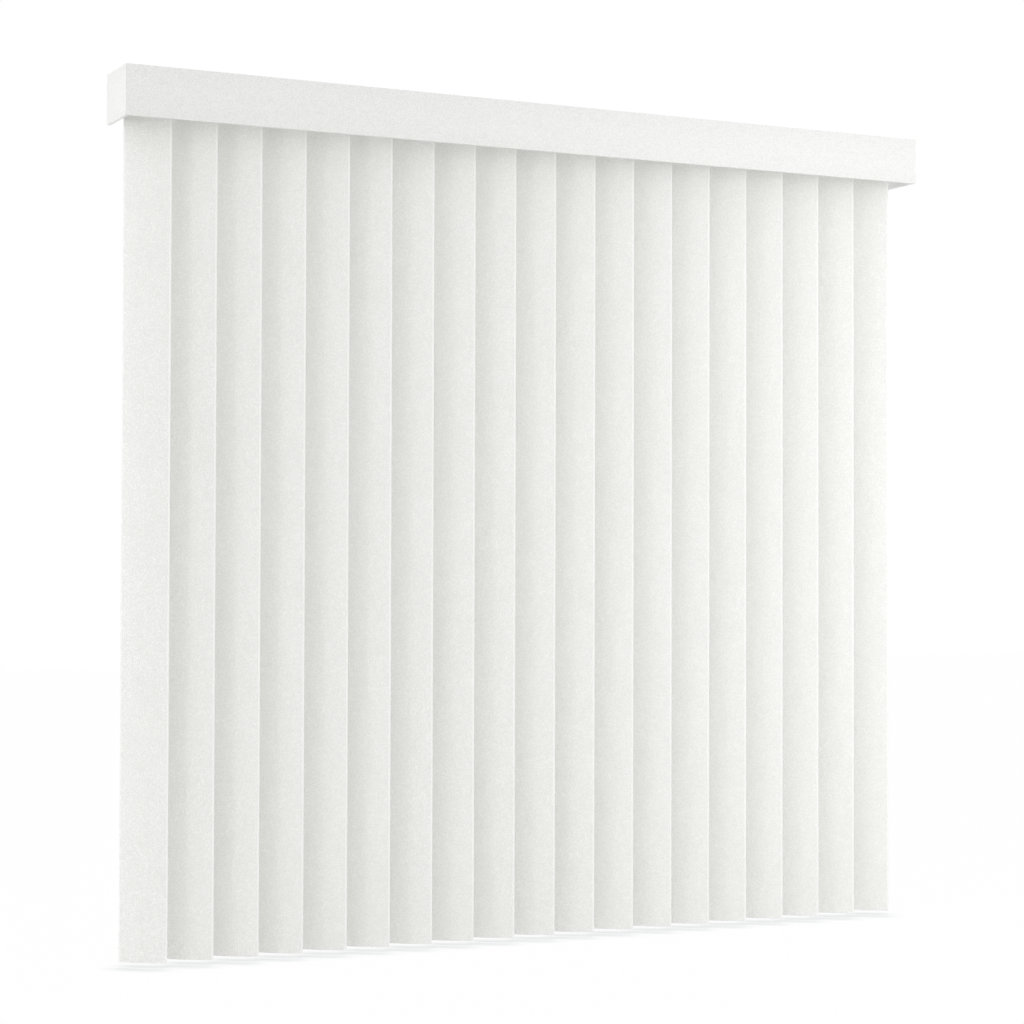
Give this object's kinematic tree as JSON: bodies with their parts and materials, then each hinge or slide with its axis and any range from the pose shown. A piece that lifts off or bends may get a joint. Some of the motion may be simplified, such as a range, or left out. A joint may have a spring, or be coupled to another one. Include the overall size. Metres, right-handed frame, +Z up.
{
  "type": "vertical blind",
  "caption": "Vertical blind: curved vanes hang from gliding carriers in a headrail behind a square box valance, tilt together and gather to one side.",
  "frame": {"origin": "midway between the two screw holes of the centre wall bracket, on the wall plane", "axes": "+X along the headrail, to the right seen from the room; +Y into the wall; +Z up"},
  "size_m": [1.648, 0.1143, 1.555],
  "materials": {
    "vane_pvc": "embossed matt",
    "valance_pvc": "smooth matt",
    "acetal": "moulded",
    "moulded_plastic": "moulded",
    "rail_enamel": "white enamel",
    "rod_aluminium": "mill",
    "zinc_steel": "zinc plated"
  },
  "bodies": {
    "frame": {"headrail": "rail_enamel", "end_cap_left": "moulded_plastic", "end_cap_right": "moulded_plastic", "valance_front": "valance_pvc", "valance_return_left": "valance_pvc", "valance_return_right": "valance_pvc", "corner_clip_left": "moulded_plastic", "corner_clip_right": "moulded_plastic", "valance_clips": "moulded_plastic", "wall_bracket_left": "zinc_steel", "wall_bracket_centre": "zinc_steel", "wall_bracket_right": "zinc_steel", "rail_clips": "zinc_steel", "clip_screws": "zinc_steel", "clip_nuts": "zinc_steel", "carrier_01": "acetal"},
    "lead": {"carrier_19": "acetal", "lead_carrier": "acetal"},
    "carrier_02": {"carrier_02": "acetal"},
    "carrier_03": {"carrier_03": "acetal"},
    "carrier_04": {"carrier_04": "acetal"},
    "carrier_05": {"carrier_05": "acetal"},
    "carrier_06": {"carrier_06": "acetal"},
    "carrier_07": {"carrier_07": "acetal"},
    "carrier_08": {"carrier_08": "acetal"},
    "carrier_09": {"carrier_09": "acetal"},
    "carrier_10": {"carrier_10": "acetal"},
    "carrier_11": {"carrier_11": "acetal"},
    "carrier_12": {"carrier_12": "acetal"},
    "carrier_13": {"carrier_13": "acetal"},
    "carrier_14": {"carrier_14": "acetal"},
    "carrier_15": {"carrier_15": "acetal"},
    "carrier_16": {"carrier_16": "acetal"},
    "carrier_17": {"carrier_17": "acetal"},
    "carrier_18": {"carrier_18": "acetal"},
    "tilt_rod": {"tilt_rod": "rod_aluminium"},
    "drive_wheel": {"drive_wheel": "acetal"},
    "wand_stem": {"wand_stem": "acetal"},
    "vane_01": {"vane_01": "vane_pvc"},
    "vane_02": {"vane_02": "vane_pvc"},
    "vane_03": {"vane_03": "vane_pvc"},
    "vane_04": {"vane_04": "vane_pvc"},
    "vane_05": {"vane_05": "vane_pvc"},
    "vane_06": {"vane_06": "vane_pvc"},
    "vane_07": {"vane_07": "vane_pvc"},
    "vane_08": {"vane_08": "vane_pvc"},
    "vane_09": {"vane_09": "vane_pvc"},
    "vane_10": {"vane_10": "vane_pvc"},
    "vane_11": {"vane_11": "vane_pvc"},
    "vane_12": {"vane_12": "vane_pvc"},
    "vane_13": {"vane_13": "vane_pvc"},
    "vane_14": {"vane_14": "vane_pvc"},
    "vane_15": {"vane_15": "vane_pvc"},
    "vane_16": {"vane_16": "vane_pvc"},
    "vane_17": {"vane_17": "vane_pvc"},
    "vane_18": {"vane_18": "vane_pvc"},
    "vane_19": {"vane_19": "vane_pvc"}
  },
  "joints": [
    {"name": "traverse", "type": "slide", "parent": "frame", "child": "lead", "axis": [-1, 0, 0], "range_m": [0, 1.251]},
    {"name": "carrier_02_slide", "type": "slide", "parent": "frame", "child": "carrier_02", "axis": [-1, 0, 0], "range_m": [0, 0.0696]},
    {"name": "carrier_03_slide", "type": "slide", "parent": "frame", "child": "carrier_03", "axis": [-1, 0, 0], "range_m": [0, 0.1391]},
    {"name": "carrier_04_slide", "type": "slide", "parent": "frame", "child": "carrier_04", "axis": [-1, 0, 0], "range_m": [0, 0.2086]},
    {"name": "carrier_05_slide", "type": "slide", "parent": "frame", "child": "carrier_05", "axis": [-1, 0, 0], "range_m": [0, 0.2781]},
    {"name": "carrier_06_slide", "type": "slide", "parent": "frame", "child": "carrier_06", "axis": [-1, 0, 0], "range_m": [0, 0.3476]},
    {"name": "carrier_07_slide", "type": "slide", "parent": "frame", "child": "carrier_07", "axis": [-1, 0, 0], "range_m": [0, 0.4171]},
    {"name": "carrier_08_slide", "type": "slide", "parent": "frame", "child": "carrier_08", "axis": [-1, 0, 0], "range_m": [0, 0.4866]},
    {"name": "carrier_09_slide", "type": "slide", "parent": "frame", "child": "carrier_09", "axis": [-1, 0, 0], "range_m": [0, 0.5561]},
    {"name": "carrier_10_slide", "type": "slide", "parent": "frame", "child": "carrier_10", "axis": [-1, 0, 0], "range_m": [0, 0.6256]},
    {"name": "carrier_11_slide", "type": "slide", "parent": "frame", "child": "carrier_11", "axis": [-1, 0, 0], "range_m": [0, 0.6951]},
    {"name": "carrier_12_slide", "type": "slide", "parent": "frame", "child": "carrier_12", "axis": [-1, 0, 0], "range_m": [0, 0.7646]},
    {"name": "carrier_13_slide", "type": "slide", "parent": "frame", "child": "carrier_13", "axis": [-1, 0, 0], "range_m": [0, 0.8341]},
    {"name": "carrier_14_slide", "type": "slide", "parent": "frame", "child": "carrier_14", "axis": [-1, 0, 0], "range_m": [0, 0.9036]},
    {"name": "carrier_15_slide", "type": "slide", "parent": "frame", "child": "carrier_15", "axis": [-1, 0, 0], "range_m": [0, 0.9731]},
    {"name": "carrier_16_slide", "type": "slide", "parent": "frame", "child": "carrier_16", "axis": [-1, 0, 0], "range_m": [0, 1.0426]},
    {"name": "carrier_17_slide", "type": "slide", "parent": "frame", "child": "carrier_17", "axis": [-1, 0, 0], "range_m": [0, 1.1121]},
    {"name": "carrier_18_slide", "type": "slide", "parent": "frame", "child": "carrier_18", "axis": [-1, 0, 0], "range_m": [0, 1.1816]},
    {"name": "vane_tilt", "type": "hinge", "parent": "frame", "child": "vane_01", "pos_m": [-0.768, -0.0553, 0], "axis": [0, 0, -1], "range_deg": [-17, 127]},
    {"name": "vane_02_tilt", "type": "hinge", "parent": "carrier_02", "child": "vane_02", "pos_m": [-0.684, -0.0553, 0], "axis": [0, 0, -1], "range_deg": [-17, 127]},
    {"name": "vane_03_tilt", "type": "hinge", "parent": "carrier_03", "child": "vane_03", "pos_m": [-0.6, -0.0553, 0], "axis": [0, 0, -1], "range_deg": [-17, 127]},
    {"name": "vane_04_tilt", "type": "hinge", "parent": "carrier_04", "child": "vane_04", "pos_m": [-0.516, -0.0553, 0], "axis": [0, 0, -1], "range_deg": [-17, 127]},
    {"name": "vane_05_tilt", "type": "hinge", "parent": "carrier_05", "child": "vane_05", "pos_m": [-0.432, -0.0553, 0], "axis": [0, 0, -1], "range_deg": [-17, 127]},
    {"name": "vane_06_tilt", "type": "hinge", "parent": "carrier_06", "child": "vane_06", "pos_m": [-0.348, -0.0553, 0], "axis": [0, 0, -1], "range_deg": [-17, 127]},
    {"name": "vane_07_tilt", "type": "hinge", "parent": "carrier_07", "child": "vane_07", "pos_m": [-0.264, -0.0553, 0], "axis": [0, 0, -1], "range_deg": [-17, 127]},
    {"name": "vane_08_tilt", "type": "hinge", "parent": "carrier_08", "child": "vane_08", "pos_m": [-0.18, -0.0553, 0], "axis": [0, 0, -1], "range_deg": [-17, 127]},
    {"name": "vane_09_tilt", "type": "hinge", "parent": "carrier_09", "child": "vane_09", "pos_m": [-0.096, -0.0553, 0], "axis": [0, 0, -1], "range_deg": [-17, 127]},
    {"name": "vane_10_tilt", "type": "hinge", "parent": "carrier_10", "child": "vane_10", "pos_m": [-0.012, -0.0553, 0], "axis": [0, 0, -1], "range_deg": [-17, 127]},
    {"name": "vane_11_tilt", "type": "hinge", "parent": "carrier_11", "child": "vane_11", "pos_m": [0.072, -0.0553, 0], "axis": [0, 0, -1], "range_deg": [-17, 127]},
    {"name": "vane_12_tilt", "type": "hinge", "parent": "carrier_12", "child": "vane_12", "pos_m": [0.156, -0.0553, 0], "axis": [0, 0, -1], "range_deg": [-17, 127]},
    {"name": "vane_13_tilt", "type": "hinge", "parent": "carrier_13", "child": "vane_13", "pos_m": [0.24, -0.0553, 0], "axis": [0, 0, -1], "range_deg": [-17, 127]},
    {"name": "vane_14_tilt", "type": "hinge", "parent": "carrier_14", "child": "vane_14", "pos_m": [0.324, -0.0553, 0], "axis": [0, 0, -1], "range_deg": [-17, 127]},
    {"name": "vane_15_tilt", "type": "hinge", "parent": "carrier_15", "child": "vane_15", "pos_m": [0.408, -0.0553, 0], "axis": [0, 0, -1], "range_deg": [-17, 127]},
    {"name": "vane_16_tilt", "type": "hinge", "parent": "carrier_16", "child": "vane_16", "pos_m": [0.492, -0.0553, 0], "axis": [0, 0, -1], "range_deg": [-17, 127]},
    {"name": "vane_17_tilt", "type": "hinge", "parent": "carrier_17", "child": "vane_17", "pos_m": [0.576, -0.0553, 0], "axis": [0, 0, -1], "range_deg": [-17, 127]},
    {"name": "vane_18_tilt", "type": "hinge", "parent": "carrier_18", "child": "vane_18", "pos_m": [0.66, -0.0553, 0], "axis": [0, 0, -1], "range_deg": [-17, 127]},
    {"name": "vane_19_tilt", "type": "hinge", "parent": "lead", "child": "vane_19", "pos_m": [0.744, -0.0553, 0], "axis": [0, 0, -1], "range_deg": [-17, 127]},
    {"name": "tilt_rod_turn", "type": "hinge", "parent": "frame", "child": "tilt_rod", "pos_m": [0, -0.0455, -0.0025], "axis": [1, 0, 0], "range_deg": [-68, 508]},
    {"name": "drive_wheel_turn", "type": "hinge", "parent": "lead", "child": "drive_wheel", "pos_m": [0.772, -0.0455, -0.0025], "axis": [1, 0, 0], "range_deg": [-68, 508]},
    {"name": "wand_stem_turn", "type": "hinge", "parent": "lead", "child": "wand_stem", "pos_m": [0.772, -0.0553, -0.028], "axis": [0, 0, 1], "range_deg": [-204, 1524]}
  ],
  "couplings": [
    {"joint": "carrier_02_slide", "follows": "traverse", "ratio": 0.055556},
    {"joint": "carrier_03_slide", "follows": "traverse", "ratio": 0.11111},
    {"joint": "carrier_04_slide", "follows": "traverse", "ratio": 0.16667},
    {"joint": "carrier_05_slide", "follows": "traverse", "ratio": 0.22222},
    {"joint": "carrier_06_slide", "follows": "traverse", "ratio": 0.27778},
    {"joint": "carrier_07_slide", "follows": "traverse", "ratio": 0.33333},
    {"joint": "carrier_08_slide", "follows": "traverse", "ratio": 0.38889},
    {"joint": "carrier_09_slide", "follows": "traverse", "ratio": 0.44444},
    {"joint": "carrier_10_slide", "follows": "traverse", "ratio": 0.5},
    {"joint": "carrier_11_slide", "follows": "traverse", "ratio": 0.55556},
    {"joint": "carrier_12_slide", "follows": "traverse", "ratio": 0.61111},
    {"joint": "carrier_13_slide", "follows": "traverse", "ratio": 0.66667},
    {"joint": "carrier_14_slide", "follows": "traverse", "ratio": 0.72222},
    {"joint": "carrier_15_slide", "follows": "traverse", "ratio": 0.77778},
    {"joint": "carrier_16_slide", "follows": "traverse", "ratio": 0.83333},
    {"joint": "carrier_17_slide", "follows": "traverse", "ratio": 0.88889},
    {"joint": "carrier_18_slide", "follows": "traverse", "ratio": 0.94444},
    {"joint": "vane_02_tilt", "follows": "vane_tilt", "ratio": 1},
    {"joint": "vane_03_tilt", "follows": "vane_tilt", "ratio": 1},
    {"joint": "vane_04_tilt", "follows": "vane_tilt", "ratio": 1},
    {"joint": "vane_05_tilt", "follows": "vane_tilt", "ratio": 1},
    {"joint": "vane_06_tilt", "follows": "vane_tilt", "ratio": 1},
    {"joint": "vane_07_tilt", "follows": "vane_tilt", "ratio": 1},
    {"joint": "vane_08_tilt", "follows": "vane_tilt", "ratio": 1},
    {"joint": "vane_09_tilt", "follows": "vane_tilt", "ratio": 1},
    {"joint": "vane_10_tilt", "follows": "vane_tilt", "ratio": 1},
    {"joint": "vane_11_tilt", "follows": "vane_tilt", "ratio": 1},
    {"joint": "vane_12_tilt", "follows": "vane_tilt", "ratio": 1},
    {"joint": "vane_13_tilt", "follows": "vane_tilt", "ratio": 1},
    {"joint": "vane_14_tilt", "follows": "vane_tilt", "ratio": 1},
    {"joint": "vane_15_tilt", "follows": "vane_tilt", "ratio": 1},
    {"joint": "vane_16_tilt", "follows": "vane_tilt", "ratio": 1},
    {"joint": "vane_17_tilt", "follows": "vane_tilt", "ratio": 1},
    {"joint": "vane_18_tilt", "follows": "vane_tilt", "ratio": 1},
    {"joint": "vane_19_tilt", "follows": "vane_tilt", "ratio": 1},
    {"joint": "tilt_rod_turn", "follows": "vane_tilt", "ratio": 4},
    {"joint": "drive_wheel_turn", "follows": "vane_tilt", "ratio": 4},
    {"joint": "wand_stem_turn", "follows": "vane_tilt", "ratio": 12}
  ]
}
